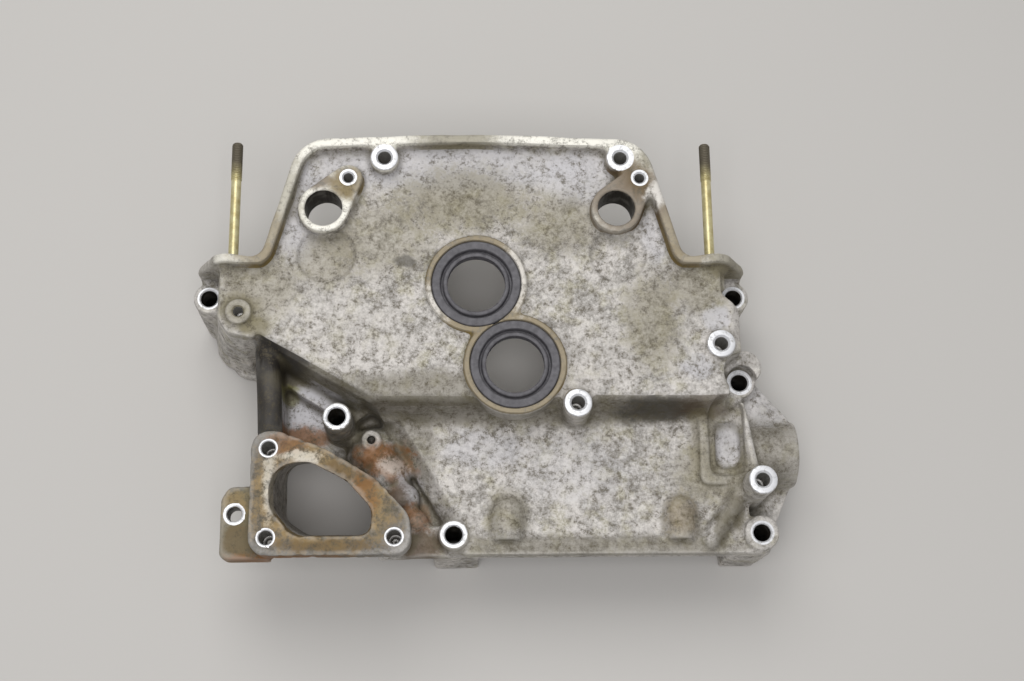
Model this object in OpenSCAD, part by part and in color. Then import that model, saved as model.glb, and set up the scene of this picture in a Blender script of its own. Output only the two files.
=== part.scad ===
// Timing cover: a deep aluminium die casting with two shaft seals and two studs.
// Z = 0 is the sealing plane on the engine and +Z points outwards, +Y goes up to the valve cover.
// The origin is the middle of the two upper bolt ears, on the sealing plane. Sizes in mm.

/* [Levels above the sealing plane] */
// Machined rim, solenoid bosses and top bosses
rim_z = 87; // [84:0.5:92]
// Outer face of the upper panel
panel_z = 78; // [74:0.5:80]
// Outer face of the lower panel
low_panel_z = 57; // [52:0.5:62]
// Machined face round the shaft seals
seal_face_z = 81; // [80:0.5:84]
// Spot faces of the three side bolt ears
ear_z = 54; // [48:0.5:58]
// Spot faces of the two bottom bolts
foot_bolt_z = 61; // [58.5:0.5:66]
// Spot face of the long bolt beside the port
long_bolt_z = 80; // [76:0.5:84]
// Faces of the threaded bosses on the panel
thread_boss_z = 82; // [80:0.5:86]
// Face of the coolant port
port_z = 79; // [76:0.5:84]
// Face of the port's outer ear
port_ear_z = 64; // [58:0.5:70]
// Floor of the pocket above the port
pocket_z = 43; // [38:0.5:48]

/* [Walls] */
// Casting wall
wall = 5; // [4:0.1:6.5]
// Width of the arched rim
rim_w = 5; // [4:0.1:7]
// Height of the foot flange on the engine
foot_h = 8; // [6:0.5:11]
// How far the foot flange stands out of the wall
foot_out = 6; // [4:0.5:8]
// Draft of the round bosses, in degrees
draft = 1.2; // [0.5:0.1:2]

/* [Arch] */
// Half distance of the two valleys beside the arch
valley_half = 111.2; // [110:0.1:113]
// Valley radius
valley_r = 7; // [5:0.5:9]
// Half width over the ends of the ledges
ledge_half = 147; // [145:0.1:150]
// Half width at the shoulders of the arch
arch_half_top = 92.3; // [88:0.1:96]
// Height of the shoulders over the upper bolts
arch_top = 79; // [77:0.1:84]
// Rise of the crown over the shoulders
arch_crown = 3.6; // [2:0.1:6]
// Shoulder radius
arch_r = 20; // [14:0.5:26]
// Back of the arched rim
arch_back_z = 62; // [56:0.5:68]

/* [Body outline] */
// Left side wall
left_x = -133.8; // [-136:0.1:-131]
// Right side wall
right_x = 141.2; // [139:0.1:144]
// Plane of the valve cover, the top of the two ledges
ledge_y = 15; // [14:0.1:18]
// Plane of the lower cover
bottom_y = -140; // [-144:0.1:-138.5]
// Edge of the upper panel at the shoulder
shoulder_y = -61.4; // [-63:0.1:-59]
// Foot of the shoulder on the lower panel
shoulder_foot_y = -67.5; // [-72:0.1:-66]
// Radius of the shoulder's two bends
shoulder_r = 6; // [3:0.1:7]

/* [Bolts to the engine] */
// Half distance of the two upper bolts
ear_half = 142.3; // [141:0.1:144]
// Middle bolt at the right
ear3_at = [143.2, -47.7]; // [-160:0.1:160]
// Long bolt beside the port
long_bolt_at = [-70.1, -71.2]; // [-160:0.1:160]
// Left bottom bolt
foot_left_at = [-10.4, -129.5]; // [-160:0.1:160]
// Right bottom bolt
foot_right_at = [149.6, -129.5]; // [-160:0.1:160]
// Bolt hole diameter
bolt_d = 8.5; // [8.1:0.1:9]
// Outside diameter of an ear at its face
ear_d = 17; // [15:0.5:19]

/* [Shaft seals] */
// Upper seal axis
seal_up_at = [1.7, 0]; // [-160:0.1:160]
// Lower seal axis
seal_low_at = [21.7, -43.7]; // [-160:0.1:160]
// Seal outside diameter
seal_d = 47; // [45:0.1:47]
// Seal width
seal_w = 10; // [8:0.5:10]
// Lip opening
seal_lip_d = 30; // [28:0.1:31]
// Radial gap left between a seal and its seat
seal_gap = 0.03; // [0.02:0.01:0.06]
// Depth of a seal below its boss face
seal_deep = 0.6; // [0.4:0.1:1]
// Boss outside diameter
seal_boss_d = 53.5; // [52.5:0.1:56]
// Garter spring wire
spring_wire_d = 1.6; // [1.2:0.1:1.8]

/* [Solenoid bosses] */
// Left solenoid bore
sol_left_at = [-78.8, 40]; // [-160:0.1:160]
// Right solenoid bore
sol_right_at = [76.3, 40]; // [-160:0.1:160]
// Bore diameter
sol_d = 19.5; // [18:0.1:21]
// Boss diameter
sol_boss_d = 27; // [25:0.1:29]
// Offset of the screw lug from the bore
sol_lug = [12.8, 17]; // [8:0.1:20]
// Screw lug diameter
sol_lug_d = 15.2; // [13:0.1:17]
// Diameter of the shallow round recess under each boss
pad_d = 30.5; // [26:0.5:34]
// Distance of that recess below the bore
pad_drop = 23.8; // [22:0.1:26]

/* [Threaded bosses] */
// Left top boss
top_left_at = [-47, 68.6]; // [-160:0.1:160]
// Right top boss
top_right_at = [79.1, 68.6]; // [-160:0.1:160]
// Boss on the shoulder
thr1_at = [53.9, -64.7]; // [-160:0.1:160]
// Boss at the right edge of the panel
thr2_at = [129.6, -33.3]; // [-160:0.1:160]
// Boss beside the pipe
thr3_at = [147.4, -105.2]; // [-160:0.1:160]
// Cast fill beside the right top boss
nook_at = [88.3, 65.8]; // [-160:0.1:160]
// Boss diameter
thr_boss_d = 15.2; // [14:0.1:17]
// Tapping drill of the larger threads
m8_tap = 6.8; // [6.6:0.1:7]
// Tapping drill of the smaller threads
m6_tap = 5; // [4.8:0.1:5.2]
// Small cast boss at the left
pip_at = [-122.3, -15.2]; // [-160:0.1:160]

/* [Coolant port] */
// Port screw at the top left
port_tl = [-104.4, -87.3]; // [-160:0.1:160]
// Port screw at the bottom left
port_bl = [-104.4, -132.8]; // [-160:0.1:160]
// Port screw at the bottom right
port_br = [-40.2, -132.8]; // [-160:0.1:160]
// Radius of the port flange round its screws
port_r = 9; // [8:0.1:10]
// Port flange thickness
port_t = 13; // [11:0.5:16]
// Hole in the outer ear
port_ear_at = [-122.6, -118.7]; // [-160:0.1:160]
// Diameter of that hole
port_ear_d = 7.2; // [6.6:0.1:7.6]
// Upper end of the swell between the port and the lower panel
swell_up_at = [-53, -84]; // [-160:0.1:160]
// Lower end of the swell
swell_low_at = [-31, -122.5]; // [-160:0.1:160]
// Radius of its upper end
swell_up_r = 14; // [12:0.5:16]
// Radius of its lower end
swell_low_r = 8; // [6:0.5:10]
// Top of the swell
swell_z = 58; // [54:0.5:62]
// Blind core hole in the swell
swell_hole_at = [-53.6, -79]; // [-160:0.1:160]

/* [Pipe stub] */
// Height of the pipe's axis over the sealing plane
pipe_z = 38; // [36:0.5:40]
// Pipe axis across
pipe_y = -84.5; // [-86:0.1:-83]
// Pipe outside diameter
pipe_d = 35.5; // [34:0.1:37]
// Pipe bore diameter
pipe_bore = 26; // [24:0.1:26.5]
// End of the pipe
pipe_end_x = 173.2; // [168:0.1:178]
// Middle of the pipe's elbow
elbow_x = 137; // [135:0.5:140]
// Crests of the ribs round the pocket on the elbow
crest_z = 60; // [59:0.5:63]

/* [Studs] */
// Half distance of the two studs
stud_half = 127.6; // [126:0.1:128.5]
// Height of the studs over the sealing plane
stud_z = 70; // [67:0.5:71]
// Thread diameter
stud_d = 6; // [5:0.1:6.4]
// Free length over the ledge
stud_free = 68; // [50:0.5:75]
// Length screwed in
stud_in = 11; // [9:0.5:12]
// Thread length at the tip
stud_thread = 22; // [15:0.5:30]
// Shank diameter
stud_shank_d = 5.35; // [4.6:0.05:5.6]
// Gap left round the screwed-in end
stud_gap = 0.04; // [0.02:0.01:0.08]

/* [Hidden] */
$fn = 36;
cast_grey = [0.70, 0.69, 0.66];
rubber = [0.27, 0.27, 0.29];
spring_steel = [0.55, 0.55, 0.57];
zinc = [0.78, 0.72, 0.45];
ear1_at = [-ear_half, 0];
ear2_at = [ear_half, 0];
head_r = ear_d / 2 + 0.6;
seat_bottom_z = seal_face_z - seal_deep - seal_w;
seat_lip_d = seal_d - 6;
spring_ring_r = seal_lip_d / 2 + 2.9;
spring_z = 3.2;
arc_step = 15;

// The direction from one point to another.
function toward(a, b) = (b - a) / norm(b - a);

// The points of one rounded corner: the path turns at b, which carries its radius as b[2].
function corner(a, b, c) =
    let (p = [b.x, b.y], u = toward(p, [a.x, a.y]), v = toward(p, [c.x, c.y]))
    let (half = acos(u * v) / 2, r = b[2])
    r <= 0 || half > 88.5 ? [p] :
    let (mid = p + toward([0, 0], u + v) * r / sin(half))
    let (s = p + u * r / tan(half) - mid, e = p + v * r / tan(half) - mid)
    let (from = atan2(s.y, s.x), raw = atan2(e.y, e.x) - from)
    let (turn = raw > 180 ? raw - 360 : raw < -180 ? raw + 360 : raw)
    let (n = max(2, ceil(abs(turn) / arc_step)))
    [for (i = [0:n]) mid + r * [cos(from + turn * i / n), sin(from + turn * i / n)]];

// A closed outline from corner points [x, y, radius].
function rounded(path) =
    let (n = len(path))
    [for (i = [0:n - 1]) each corner(path[(i + n - 1) % n], path[i], path[(i + 1) % n])];

// The same outline moved inwards by d. The path runs anticlockwise.
function inset(path, d) =
    let (n = len(path))
    [for (i = [0:n - 1])
        let (a = path[(i + n - 1) % n], b = path[i], c = path[(i + 1) % n])
        let (e = toward([a.x, a.y], [b.x, b.y]), f = toward([b.x, b.y], [c.x, c.y]))
        let (shift = d * ([-e.y, e.x] + [-f.y, f.x]) / (1 + e * f))
        let (left = e.x * f.y - e.y * f.x > 0)
        [b.x + shift.x, b.y + shift.y, max(left ? b[2] - d : b[2] + d, 0.8)]];

front_path = [
    [-ledge_half, -20, 0],
    [ledge_half, -20, 0],
    [ledge_half, ledge_y - 1, 3],
    [stud_half, ledge_y, 25],
    [valley_half, ledge_y - 2.8, valley_r],
    [arch_half_top, arch_top, arch_r],
    [0, arch_top + arch_crown, 700],
    [-arch_half_top, arch_top, arch_r],
    [-valley_half, ledge_y - 2.8, valley_r],
    [-stud_half, ledge_y, 25],
    [-ledge_half, ledge_y - 1, 3]
];

body_path = [
    [-110.5, -29.8, 5],
    [-50, -65, 9],
    [-13.5, -126, 8],
    [-13.5, bottom_y + 1, 1],
    [right_x + 3, bottom_y + 1, 1],
    [right_x + 3, -60, 4],
    [right_x + 1.5, -46, 4],
    [right_x, -31, 6],
    [right_x, -12.5, 3],
    [131.5, -4.5, 5],
    [131.5, ledge_y - 2, 1],
    [left_x + 0.6, ledge_y - 2, 1],
    [left_x, -17, 4],
    [-128.5, -26, 5]
];

// The space inside the chamber, which runs out under the arch.
space_path = [
    [-104, -24, 6],
    [-42, -57.5, 8],
    [-2, -124, 8],
    [3, -134, 3],
    [136, -134, 3],
    [136, -103, 3],
    [120, -98, 3],
    [120, -71, 3],
    [125, -64, 4],
    [122, -50, 8],
    [126, -38, 6],
    [135.5, -28, 5],
    [135.5, -18, 4],
    [120, -10, 6],
    [120, ledge_y + 5, 1],
    [-120, ledge_y + 5, 1],
    [-120, -18, 4]
];

port_path = [
    [port_bl.x - port_r, port_bl.y - port_r, port_r],
    [port_br.x + port_r, port_br.y - port_r, port_r],
    [port_br.x + port_r - 1, port_br.y + 11, 12],
    [-49, -103.5, 9],
    [-76, -87, 30],
    [port_tl.x + 5, port_tl.y + port_r, 12],
    [port_tl.x - port_r, port_tl.y + port_r, port_r]
];

throat_path = [
    [-103.3, -117.5, 10],
    [-91, -132.2, 9],
    [-52.5, -132.2, 5],
    [-51.6, -119, 8],
    [-64, -105, 14],
    [-84, -94.5, 12],
    [-103.3, -97, 13]
];

// The same opening on the engine's side, where the duct has leaned up.
throat_back_path = [
    [-103.3, -112, 6],
    [-91, -120.5, 5],
    [-56, -120.5, 5],
    [-54, -107, 8],
    [-66, -92, 14],
    [-84, -80, 10],
    [-103.3, -81, 9]
];

// A prism over a corner path, from z0 to z1.
module prism(path, z0, z1) {
    translate([0, 0, z0]) linear_extrude(z1 - z0) polygon(rounded(path));
}

// A round cast boss with draft. Its diameter is taken at the top.
module boss(at, d, z0, z1) {
    translate([at.x, at.y, z0])
        cylinder(r1 = d / 2 + (z1 - z0) * tan(draft), r2 = d / 2, h = z1 - z0);
}

// A drilled hole from z0 to z1.
module drill(at, d, z0, z1) {
    translate([at.x, at.y, z0]) cylinder(d = d, h = z1 - z0);
}

// A tapped blind hole under face level z.
module tapped(at, d, z, deep) {
    drill(at, d, z - deep, z + 1);
}

// Everything below the outer face: the section in Y and Z, carried along X.
// drop moves the face inwards, back moves the shoulder up by the wall.
module under_face(drop, back) {
    z0 = low_panel_z - drop;
    z1 = panel_z - drop;
    section = [
        [-170, -1, 0],
        [120, -1, 0],
        [120, z1, 0],
        [shoulder_y + back, z1, shoulder_r],
        [shoulder_foot_y + back, z0, shoulder_r],
        [-170, z0, 0]
    ];
    translate([-190, 0, 0]) rotate([90, 0, 90]) linear_extrude(380) polygon(rounded(section));
}

// The open-backed box of the chamber: side walls and both panels.
module chamber() {
    difference() {
        intersection() {
            prism(body_path, 0, rim_z);
            under_face(0, 0);
        }
        intersection() {
            prism(space_path, -1, rim_z);
            under_face(wall, wall);
        }
        bottom_opening();
    }
}

// The side towards the lower cover is open below its flange.
module bottom_opening() {
    translate([3, bottom_y - 10, -1]) cube([133, 16, low_panel_z - 10]);
}

// The foot flange on the engine, left and right of the chamber.
module foot_flange() {
    difference() {
        prism(inset(body_path, -foot_out), 0, foot_h);
        prism(inset(space_path, -wall / 2), -1, foot_h + 1);
        translate([-108, 4, -1]) cube([216, 40, foot_h + 2]);
        translate([3, bottom_y - 20, -1]) cube([133, 26, foot_h + 2]);
        translate([-200, bottom_y - 30, -1]) cube([400, 30, foot_h + 2]);
        translate([-200, ledge_y, -1]) cube([400, 30, foot_h + 2]);
    }
}

// The left corner of the chamber widens down to the engine.
module left_corner() {
    inner_x = left_x + 12.5;
    top = [[inner_x, -4, 0], [left_x, -4, 0], [left_x, -17, 4], [-128.5, -26, 4], [inner_x, -27.5, 0]];
    foot = [[inner_x, -8, 0], [-145.5, -8, 1], [-143.5, -20, 3], [-139.5, -24.5, 3], [inner_x, -33, 2]];
    hull() {
        prism(foot, 0, foot_h);
        prism(top, panel_z - 8, panel_z - 7);
    }
}

// The section in X and Z that rounds off the ends of the two ledges, carried along Y.
module ledge_ends() {
    section = [
        [-ledge_half - 1, 0, 0],
        [ledge_half + 1, 0, 0],
        [ledge_half + 1, arch_back_z + 1, 18],
        [ledge_half - 13, rim_z, 10],
        [13 - ledge_half, rim_z, 10],
        [-ledge_half - 1, arch_back_z + 1, 18]
    ];
    translate([0, 120, 0]) rotate([90, 0, 0]) linear_extrude(160) polygon(rounded(section));
}

// The band that runs over one ledge, up and along the arch and down to the other ledge.
module band(z0, z1) {
    difference() {
        prism(front_path, z0, z1);
        prism(inset(front_path, rim_w), z0 - 1, z1 + 1);
        translate([-200, -30, z0 - 1]) cube([400, 30 + ledge_y - rim_w - 0.6, z1 - z0 + 2]);
    }
}

// The rim round the top and the part of the upper panel inside it.
module rim() {
    intersection() {
        band(arch_back_z, rim_z + 2);
        ledge_ends();
    }
    intersection() {
        prism(front_path, panel_z - wall, panel_z);
        translate([-118, ledge_y - 4, 0]) cube([236, 90, 120]);
    }
}

// The end of a side wall under its ledge, with the boss of the stud. side is -1 or 1.
module ledge(side) {
    mirror([side < 0 ? 1 : 0, 0, 0]) {
        intersection() {
            band(0, arch_back_z + 2);
            translate([valley_half - 6, 0, -1]) cube([60, ledge_y + 10, rim_z]);
        }
        translate([stud_half, ledge_y - 0.4, stud_z]) rotate([90, 0, 0]) cylinder(d = 14.5, h = stud_in + 5);
    }
}

// The scoop over a bolt ear, which leaves room for the bolt's head.
module scoop(at, room) {
    translate([at.x, at.y, ear_z])
        cylinder(r1 = head_r - 0.3 + room, r2 = head_r + 0.4 + 2 * room, h = rim_z - ear_z + 5);
}

// Planes off the outer edge from a to b at level z: width w on the face and as much down the wall.
module bevel(a, b, z, w) {
    translate([a.x, a.y, z]) rotate([0, 0, atan2(b.y - a.y, b.x - a.x)])
        translate([-4, w, 0]) rotate([45, 0, 0]) translate([0, -40, 0]) cube([norm(b - a) + 8, 45, 30]);
}

// The broad bevels along the panels' free edges. The lower one ends at the shoulder.
module bevels() {
    bevel([body_path[0].x, body_path[0].y], [body_path[1].x, body_path[1].y], panel_z, 3.5);
    bevel([right_x, -36], [right_x, -10], panel_z, 4);
    intersection() {
        bevel([body_path[1].x, body_path[1].y], [body_path[2].x, body_path[2].y], low_panel_z, 8);
        translate([-60, -142, 0]) cube([60, 142 + shoulder_foot_y - 2, rim_z]);
    }
}

// The corner of the upper panel is cut back over the middle bolt, down to a pointed flat.
module corner_cut() {
    prism([[133.5, -52, 3], [170, -52, 0], [170, -75, 0], [133.5, -75, 0]], low_panel_z, rim_z);
    prism([[137, -46, 0], [148, -50, 0], [144, -60, 3], [134, -65, 1], [134, -60, 1]], ear_z, rim_z);
}

// The two joined seal bosses.
module seal_bosses() {
    for (at = [seal_up_at, seal_low_at])
        boss(at, seal_boss_d, seat_bottom_z - 4.5, seal_face_z);
}

// A solenoid boss with its screw lug.
module solenoid_boss(at) {
    translate([at.x, at.y, 66]) linear_extrude(rim_z - 66) hull() {
        circle(d = sol_boss_d);
        translate(sol_lug) circle(d = sol_lug_d);
    }
}

// The coolant port: its triangular flange, the duct down to the engine and the outer ear.
module port() {
    ear = [
        [-129.8, -142, 4],
        [port_bl.x, -142, 0],
        [port_bl.x, -104, 0],
        [-113, -104, 0],
        [-126, -104.5, 5],
        [-129.8, -111, 5]
    ];
    prism(port_path, port_z - port_t, port_z);
    for (at = [port_tl, port_bl, port_br])
        boss(at, 14, port_z - 26, port_z - 2);
    prism(ear, port_ear_z - 14, port_ear_z);
    hull() {
        prism(inset(throat_path, -5.5), port_z - 4, port_z - 3);
        prism(inset(throat_back_path, -6), 0, 1);
    }
}

// The inside of the duct, from the port to the engine.
module port_space() {
    hull() {
        prism(throat_path, port_z, port_z + 1);
        prism(throat_back_path, -2, -1);
    }
}

// The walls between the port, the chamber and the left side.
module port_walls() {
    rib = [
        [-101.5, -26, 0],
        [-115, -26, 5],
        [-110.5, -88, 0],
        [-99, -88, 0]
    ];
    floor = [
        [-112, -27, 0],
        [-108, -100, 0],
        [-60, -106, 0],
        [-22, -135, 0],
        [-8, -128, 0],
        [-46, -62, 0]
    ];
    step = [
        [-106, -27, 0],
        [-102, -46, 3],
        [-92, -54, 3],
        [-79, -62, 0],
        [-66, -72, 0],
        [-52, -60.5, 0]
    ];
    skirt = [
        [-50, -141, 2],
        [-14, -139.6, 2],
        [-14, -124, 3],
        [-50, -124, 3]
    ];
    prism(rib, 0, panel_z - 10.5);
    translate([-108.3, -24, panel_z - 10.5]) rotate([90, 0, 3.2]) cylinder(r = 6.3, h = 66);
    bank();
    prism(floor, pocket_z - wall, pocket_z);
    prism(step, pocket_z - wall, pocket_z + 10);
    prism(skirt, low_panel_z - 13, low_panel_z - 3);
    swell();
    boss(swell_hole_at, 11, pocket_z - 2, swell_z + 0.5);
}

// The chamber's wall leans out over the pocket above the port.
module bank() {
    a = body_path[0];
    b = body_path[1];
    section = [[1, pocket_z - 1], [-6, pocket_z - 1], [-4, pocket_z + 10],
               [0, panel_z - 3], [1, panel_z - 3]];
    translate([a.x, a.y, 0]) rotate([0, 0, atan2(b.y - a.y, b.x - a.x)])
        rotate([90, 0, 90]) linear_extrude(60) polygon(section);
}

// The tapered swell that runs down beside the port, as a row of shrinking balls.
module swell() {
    for (i = [0:3]) {
        at = swell_up_at + (swell_low_at - swell_up_at) * i / 3;
        r = swell_up_r + (swell_low_r - swell_up_r) * i / 3;
        translate([at.x, at.y, swell_z - r]) sphere(r = r);
    }
}

// The pipe stub at the right, with its elbow down to the engine and the pocket on top of it.
module pipe() {
    translate([elbow_x, pipe_y, pipe_z]) rotate([0, 90, 0]) cylinder(d = pipe_d, h = pipe_end_x - elbow_x);
    translate([elbow_x, pipe_y, pipe_z]) sphere(d = pipe_d - 0.4, $fn = 28);
    translate([elbow_x, pipe_y, 0]) cylinder(d = pipe_d - 0.8, h = pipe_z);
    prism([[119, -104, 4], [146, -104, 4], [146, -66, 4], [119, -66, 4]], 46, crest_z);
    prism([[139.5, -60, 1.5], [143.5, -60, 1.5], [150.5, -98, 1.5], [146.5, -98, 1.5]], 30, crest_z + 2);
    prism([[146, -70, 0], [146, -46, 3], [152, -46, 5], [170, -66, 3], [170, -72, 0]], 28, 47);
    prism([[146, -98, 0], [146, -122, 0], [163, -121, 4], [171.5, -102, 4], [171.5, -97, 0]], 16, 34);
}

// Inside of the pipe stub: the bore, the drop to the engine and the pocket on top.
module pipe_space() {
    translate([elbow_x, pipe_y, pipe_z]) rotate([0, 90, 0]) cylinder(d = pipe_bore, h = 60);
    translate([elbow_x, pipe_y, pipe_z]) sphere(d = pipe_bore - 0.3, $fn = 28);
    translate([elbow_x, pipe_y, -1]) cylinder(d = pipe_bore - 0.6, h = pipe_z + 1);
    prism([[128, -95, 3], [141.5, -95, 3], [141.5, -70, 3], [128, -70, 3]], crest_z - 7, rim_z);
    prism([[124.5, -99, 5], [143, -99, 5], [143, -60, 5], [124.5, -60, 5]], crest_z - 3.2, rim_z);
}

// Raised bosses and ribs on the lower panel, and the flange of the lower cover.
module lower_details() {
    for (x = [17.3, 107.5]) {
        translate([x, -117.5, 54]) rotate([90, 0, 0]) cylinder(r = 9.4, h = 15);
        translate([x, -117.5, 54]) sphere(r = 9.38, $fn = 28);
    }
    prism([[-5, -140, 1], [150, -140, 1], [150, -131.5, 2], [-5, -131.5, 2]],
          low_panel_z - 11, low_panel_z + 1.6);
    translate([123, -133, 57]) {
        rotate([0, 90, 55.5]) cylinder(r = 5.5, h = 38);
        sphere(r = 5.45, $fn = 28);
    }
    prism([[-21.3, -140, 2], [-7, -140, 2], [-7, -127, 3], [-21.3, -127, 3]], 0, 54);
    prism([[139, -140, 2], [156, -140, 3], [156, -125, 3], [139, -122, 3]], 0, 50);
}

// All round bosses.
module bosses() {
    for (at = [ear1_at, ear2_at, ear3_at])
        boss(at, ear_d, 0, ear_z);
    boss(foot_left_at, ear_d - 1, 0, foot_bolt_z);
    boss(foot_right_at, ear_d + 1.5, 0, foot_bolt_z);
    boss(long_bolt_at, ear_d - 1.8, 0, long_bolt_z);
    boss(ear3_at + [1.5, 6.5], ear_d + 2, 0, ear_z + 8);
    boss(nook_at, 10, arch_back_z + 2, rim_z);
    boss(thr1_at, thr_boss_d, low_panel_z - 9, thread_boss_z);
    boss(thr2_at, thr_boss_d, panel_z - 18, thread_boss_z);
    boss(thr3_at, thr_boss_d, 20, thread_boss_z);
    boss(pip_at, 14, panel_z - 20, seal_face_z);
    for (at = [top_left_at, top_right_at])
        boss(at, thr_boss_d, arch_back_z + 2, rim_z);
    for (at = [sol_left_at, sol_right_at])
        solenoid_boss(at);
}

// Every bore, tapped hole and recess.
module bores() {
    for (at = [seal_up_at, seal_low_at]) {
        drill(at, seal_d + 2 * seal_gap, seat_bottom_z, seal_face_z + 5);
        drill(at, seat_lip_d, 20, seal_face_z);
    }
    for (at = [sol_left_at, sol_right_at]) {
        drill(at, sol_d, 40, rim_z + 1);
        tapped(at + sol_lug, m6_tap, rim_z, 16);
        drill([at.x + 0.9, at.y - pad_drop], pad_d, panel_z - 0.8, panel_z + 2);
    }
    for (at = [top_left_at, top_right_at])
        tapped(at, m8_tap, rim_z, 18);
    for (at = [ear1_at, ear2_at, ear3_at, foot_left_at, foot_right_at, long_bolt_at])
        drill(at, bolt_d, -1, rim_z);
    drill(ear3_at, ear_d - 2, ear_z, rim_z);
    for (at = [thr1_at, thr2_at, thr3_at])
        tapped(at, m8_tap, thread_boss_z, 18);
    tapped(pip_at, m6_tap, seal_face_z, 12);
    for (at = [port_tl, port_bl, port_br])
        tapped(at, m8_tap, port_z, 20);
    drill(port_ear_at, port_ear_d, -1, rim_z);
    drill(swell_hole_at, 4.2, swell_z - 4, swell_z + 4);
    for (x = [-stud_half, stud_half])
        translate([x, ledge_y + 1, stud_z]) rotate([90, 0, 0])
            cylinder(d = stud_d + 2 * stud_gap, h = stud_in + 1.5);
}

// The casting.
module cover() {
    color(cast_grey) difference() {
        union() {
            difference() {
                chamber();
                scoop(ear1_at, 0);
                scoop(ear2_at, 0);
                scoop(ear3_at, 1.8);
                corner_cut();
                bevels();
            }
            rim();
            for (side = [-1, 1])
                ledge(side);
            foot_flange();
            left_corner();
            seal_bosses();
            bosses();
            port();
            port_walls();
            pipe();
            lower_details();
        }
        bores();
        pipe_space();
        port_space();
    }
}

// A shaft seal: outer ring, web and lip in one section, standing on its inner side.
module seal(at) {
    lip = seal_lip_d / 2;
    outer = seal_d / 2;
    section = [
        [outer - 3.2, 0],
        [outer - 0.5, 0],
        [outer, 0.8],
        [outer, seal_w - 0.8],
        [outer - 0.5, seal_w],
        [outer - 3.9, seal_w],
        [outer - 4.4, seal_w - 0.5],
        [outer - 4.8, seal_w - 3.4],
        [lip + 2.8, seal_w - 3.4],
        [lip + 2.2, seal_w - 0.8],
        [lip + 1.5, seal_w - 0.5],
        [lip, seal_w - 0.9],
        [lip + 1, seal_w - 3],
        [lip + 0.2, spring_z + 0.4],
        [lip + 0.9, 1.2],
        [lip + 3.4, 1.2],
        [lip + 3.4, 5],
        [outer - 3.2, 5]
    ];
    color(rubber) translate([at.x, at.y, seat_bottom_z]) difference() {
        rotate_extrude($fn = 64) polygon(section);
        rotate_extrude($fn = 64)
            translate([spring_ring_r, spring_z]) circle(d = spring_wire_d + 0.06, $fn = 16);
    }
}

// A garter spring, drawn as a plain ring.
module garter(at) {
    color(spring_steel) translate([at.x, at.y, seat_bottom_z + spring_z])
        rotate_extrude($fn = 64) translate([spring_ring_r, 0]) circle(d = spring_wire_d, $fn = 16);
}

module upper_seal() {
    seal(seal_up_at);
}

module upper_seal_spring() {
    garter(seal_up_at);
}

module lower_seal() {
    seal(seal_low_at);
}

module lower_seal_spring() {
    garter(seal_low_at);
}

// A stud along +Y: thread in the casting, slimmer shank, thread and chamfer at the tip.
module stud(x) {
    top = ledge_y + stud_free;
    color(zinc) translate([x, 0, stud_z]) rotate([-90, 0, 0]) {
        translate([0, 0, ledge_y - stud_in]) cylinder(d = stud_d, h = stud_in + 2);
        translate([0, 0, ledge_y]) cylinder(d = stud_shank_d, h = stud_free - 4);
        translate([0, 0, top - stud_thread]) cylinder(d = stud_d, h = stud_thread - 1);
        translate([0, 0, top - 1]) cylinder(d1 = stud_d, d2 = stud_d - 1.8, h = 1);
    }
}

module left_stud() {
    stud(-stud_half);
}

module right_stud() {
    stud(stud_half);
}

cover();
upper_seal();
upper_seal_spring();
lower_seal();
lower_seal_spring();
left_stud();
right_stud();
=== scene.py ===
"""A used timing cover, a die casting with two shaft seals and two studs, on a pale studio floor."""

from __future__ import annotations

import logging
import math
from dataclasses import dataclass, field
from enum import Enum

import bmesh
import bpy
import numpy as np
import openvdb
from mathutils import Matrix, Vector

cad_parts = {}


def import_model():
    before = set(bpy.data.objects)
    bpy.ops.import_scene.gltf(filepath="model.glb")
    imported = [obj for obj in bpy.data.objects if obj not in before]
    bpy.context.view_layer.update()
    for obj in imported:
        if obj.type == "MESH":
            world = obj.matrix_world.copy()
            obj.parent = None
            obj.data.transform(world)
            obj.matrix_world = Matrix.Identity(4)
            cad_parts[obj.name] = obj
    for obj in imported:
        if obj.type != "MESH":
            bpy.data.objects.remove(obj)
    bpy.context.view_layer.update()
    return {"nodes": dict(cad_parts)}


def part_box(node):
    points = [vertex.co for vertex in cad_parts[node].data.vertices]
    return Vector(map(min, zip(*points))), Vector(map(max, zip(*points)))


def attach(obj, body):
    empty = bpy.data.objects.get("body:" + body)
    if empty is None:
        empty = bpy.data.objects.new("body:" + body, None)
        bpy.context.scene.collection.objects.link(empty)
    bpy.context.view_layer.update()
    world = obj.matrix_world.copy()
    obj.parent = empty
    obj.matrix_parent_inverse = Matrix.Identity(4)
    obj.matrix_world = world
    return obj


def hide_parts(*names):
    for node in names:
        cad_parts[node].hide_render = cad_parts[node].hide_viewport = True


LOG = logging.getLogger("timing_cover")
MM = 0.001


class Side(Enum):
    """The two sides of the cover, seen from outside."""

    LEFT = -1
    RIGHT = 1


class Slot(Enum):
    """Material slots of the casting, in order."""

    CAST = 0
    FACED = 1
    TAPPED = 2
    BORED = 3


class Tint(Enum):
    """Colours of the casting, of what has settled on it and of painted shade, as sRGB hex."""

    PALE_SKIN = "#c4bfb9"
    GREY_SKIN = "#8f8b85"
    COOL_SKIN = "#bebcbe"
    OLIVE_SKIN = "#a29c7f"
    SPECK = "#514937"
    OLIVE = "#787054"
    # This olive dark is oil film in the fillets, and it is also painted shade on the slopes.
    FILM_AND_SHADE = "#5f5843"
    # This near black is grime, and it is also painted shade in hollows and on the slopes.
    GRIME = "#1f1a14"
    CREAM = "#efece0"
    GOLD = "#73602e"
    VARNISH = "#5f4a28"
    RUST = "#7f5220"
    BROWN = "#4f3a1e"
    TAN = "#917a50"
    CHALK = "#dcd8d1"
    SLATE = "#413f3b"
    MARKER = "#7d7a45"


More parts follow.
